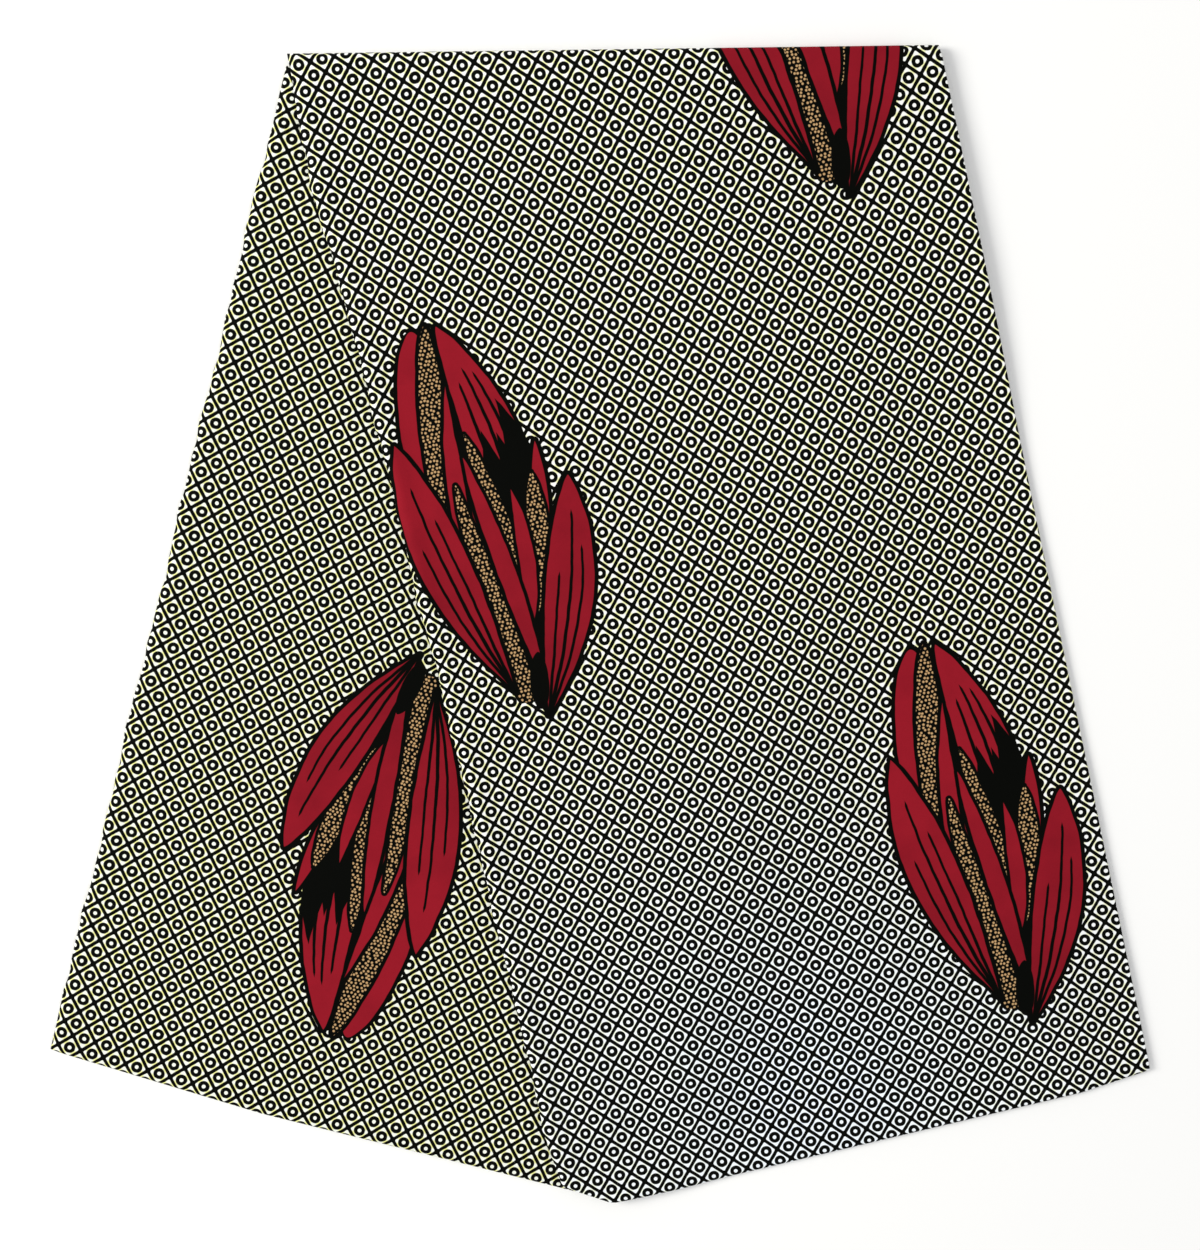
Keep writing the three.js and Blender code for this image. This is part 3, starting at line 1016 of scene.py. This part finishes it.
def bud_print(tree, ground, ink_free):
    """A closed flower bud over the repeat: black outlines, red petals with veins, and bands of dots."""
    share_across, share_up, _ = uv_terms(tree, "bud")
    across = share_across.math("MULTIPLY_ADD", BUD_FRAME["width"], BUD_FRAME["left"])
    up = share_up.math("MULTIPLY_ADD", BUD_FRAME["length"], BUD_FRAME["foot"])
    place = tree.nodes.new("ShaderNodeCombineXYZ")
    tree.links.new(across.socket, place.inputs[0])
    tree.links.new(up.socket, place.inputs[1])
    sway = noise_term(tree, place.outputs[0], BUD_SWAY["scale"], BUD_SWAY["detail"])
    across = across + (sway - 0.5) * BUD_SWAY["size"]

    nowhere = across.math("MULTIPLY_ADD", 0.0, -BUD_FRAME["length"])
    depth = {"black": nowhere, "red": nowhere, "dots": nowhere}
    for petal in BUD_PETALS:
        way, length, half, offset, beyond = leaf(across, up, petal)
        inside = half - length_of(offset, beyond)
        outline = inside + petal["edge"]
        for vein in BUD_VEINS.get(petal["name"], []):
            inside = inside.least(vein_depth(way, length, half, offset, vein) * -1)
        outside = outline * -1
        depth = {
            "black": depth["black"].most(outline),
            "red": depth["red"].least(outside),
            "dots": depth["dots"].least(outside),
        }
        depth[petal["print"]] = depth[petal["print"]].most(inside)

    from_dot = dot_distance(tree, across, up)
    dot = from_dot.math("MULTIPLY_ADD", -1, DOT_RADIUS).least(depth["dots"])
    tone = noise_term(tree, place.outputs[0], RED_DEPTH["scale"], RED_DEPTH["detail"])
    deep = (tone - 0.5) * RED_DEPTH["amount"] + up.over(*RED_DEPTH["heights"]) * RED_DEPTH["near_foot"]
    red_colour = mixed(tree, deep.over(0.0, 1.0), RED, RED_DEEP)
    ochre = mixed(tree, from_dot.over(*DOT_LIGHT), OCHRE_LIGHT, OCHRE)
    colour = mixed(tree, depth["black"].over(-BLEED, BLEED), ground, INK)
    colour = mixed(tree, dot.over(-BLEED, BLEED), colour, ochre)
    colour = mixed(tree, depth["red"].over(-BLEED, BLEED), colour, red_colour)
    return colour, ink_free * depth["black"].over(BLEED, -BLEED)


def wax_print(name, tint):
    """Two materials for a piece: the plain repeat, and the repeat with a bud on it."""
    plain, tree = new_tree(name)
    colour, ink_free = ground_print(tree, tint)
    finish_cloth(tree, colour, ink_free)
    with_bud, tree = new_tree(name + "_bud")
    ground, ink_free = ground_print(tree, tint)
    colour, ink_free = bud_print(tree, ground, ink_free)
    finish_cloth(tree, colour, ink_free)
    return [plain, with_bud]


# Near its lowest point the upper half has painted cool light: its white is a little bluer and dimmer, and
# its yellow fades. This painted light is placed in metres: it is full up to near from its middle, and gone
# at far.
UPPER_TINT = {
    "white": srgb(249, 250, 247),
    "halo": srgb(238, 240, 140),
    "halo_strength": 0.75,
    "painted_cool_light": {"middle": (0.2, -0.43), "near": 0.04, "far": 0.46, "white": srgb(241, 248, 255)},
}
# The lower half is the same cloth as the upper. Its white and yellow are painted a little darker and
# warmer: painted warm light on that half.
LOWER_TINT = {
    "white": srgb(241, 244, 233),
    "halo": srgb(232, 230, 112),
    "halo_strength": 0.8,
}


# ---- the pieces ----
def cloth_pieces():
    upper_print = wax_print("wax_print_upper", UPPER_TINT)
    lower_print = wax_print("wax_print_lower", LOWER_TINT)
    upper_cloth = outer_ply_skin(upper_shape(CLOTH_SPACING))
    upper_plies = hidden_plies_skin(upper_shape(PLIES_SPACING))
    lower_cloth = outer_ply_skin(lower_shape(CLOTH_SPACING))
    lower_plies = hidden_plies_skin(lower_shape(PLIES_SPACING))
    rows = [
        ("upper_cloth", upper_cloth, CLOTH_SKIN, UPPER_PRINT, UPPER_BUDS, upper_print),
        ("upper_plies", upper_plies, PLIES_SKIN, UPPER_PRINT, UPPER_BACK_BUDS, upper_print),
        ("lower_cloth", lower_cloth, CLOTH_SKIN, LOWER_PRINT, LOWER_BUDS, lower_print),
        ("lower_plies", lower_plies, PLIES_SKIN, LOWER_PRINT, LOWER_BACK_BUDS, lower_print),
    ]
    return {row[0]: build_mesh(*row) for row in rows}


made = cloth_pieces()
for piece_name, node in (
    ("upper_cloth", "upper_panel"),
    ("upper_plies", "upper_hidden_layers"),
    ("lower_cloth", "lower_panel"),
    ("lower_plies", "lower_hidden_layers"),
):
    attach(made[piece_name], "root")
    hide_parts(node)


# ---- floor, light and camera ----
# The floor's half size and the lamps' places, aims and sizes are in metres, and power is in watts.
FLOOR_HALF_SIZE = 6.0
FLOOR_DROP = 0.2
FLOOR_GREY = 0.96
WORLD_STRENGTH = 0.6
LAMPS = [
    {"name": "soft_left", "place": (-4.2, 0.9, 3.0), "aim": (0.0, 0.1, 0.0), "size": 2.2, "power": 213,
     "colour": (1.0, 0.985, 0.93)},
    {"name": "soft_right", "place": (3.4, -0.8, 4.4), "aim": (0.1, 0.0, 0.0), "size": 3.0, "power": 36,
     "colour": (0.97, 0.99, 1.0)},
]

# The camera looks from distance at the point aim, at the height over. pitch and yaw tilt it away from
# straight above, and the focal length is in the photo's pixels.
CAMERA = {
    "distance": 1500,
    "pitch": 5.35,
    "yaw": -0.21,
    "focal_px": 1625.1,
    "aim": (-1.95, 17.75),
    "over": 9.0,
}
SENSOR = 36.0


def make_floor():
    size = FLOOR_HALF_SIZE
    mesh = bpy.data.meshes.new("floor")
    corners = [(-size, -size, 0), (size, -size, 0), (size, size, 0), (-size, size, 0)]
    mesh.from_pydata(corners, [], [(0, 1, 2, 3)])
    floor = bpy.data.objects.new("floor", mesh)
    floor.location.z = -FLOOR_DROP * MM
    material, tree = new_tree("pale_floor")
    shader = tree.nodes.new("ShaderNodeBsdfDiffuse")
    shader.inputs["Color"].default_value = (FLOOR_GREY, FLOOR_GREY, FLOOR_GREY, 1)
    out = tree.nodes.new("ShaderNodeOutputMaterial")
    tree.links.new(shader.outputs[0], out.inputs["Surface"])
    mesh.materials.append(material)
    bpy.context.scene.collection.objects.link(floor)


def hang_lamp(row):
    light = bpy.data.lights.new(row["name"], "AREA")
    light.shape = "SQUARE"
    light.size = row["size"]
    light.energy = row["power"]
    light.color = row["colour"]
    lamp = bpy.data.objects.new(row["name"], light)
    lamp.location = row["place"]
    towards = Vector(row["aim"]) - Vector(row["place"])
    lamp.rotation_euler = towards.to_track_quat("-Z", "Y").to_euler()
    bpy.context.scene.collection.objects.link(lamp)


def make_light():
    world = bpy.data.worlds.new("studio")
    world.use_nodes = True
    background = world.node_tree.nodes["Background"]
    background.inputs["Color"].default_value = (1.0, 1.0, 1.0, 1)
    background.inputs["Strength"].default_value = WORLD_STRENGTH
    bpy.context.scene.world = world
    for row in LAMPS:
        hang_lamp(row)
    bpy.context.scene.view_settings.view_transform = "Standard"
    bpy.context.scene.view_settings.look = "None"


def make_camera():
    data = bpy.data.cameras.new("camera")
    data.sensor_width = SENSOR
    data.lens = CAMERA["focal_px"] / max(IMAGE.values()) * SENSOR
    camera = bpy.data.objects.new("camera", data)
    yaw = Matrix.Rotation(math.radians(CAMERA["yaw"]), 3, "Y")
    pitch = Matrix.Rotation(math.radians(-CAMERA["pitch"]), 3, "X")
    turn = yaw @ pitch
    middle = Vector((*CAMERA["aim"], CAMERA["over"]))
    place = (middle + turn @ Vector((0, 0, CAMERA["distance"]))) * MM
    camera.matrix_world = Matrix.Translation(place) @ turn.to_4x4()
    bpy.context.scene.collection.objects.link(camera)
    bpy.context.scene.camera = camera


make_floor()
make_light()
make_camera()
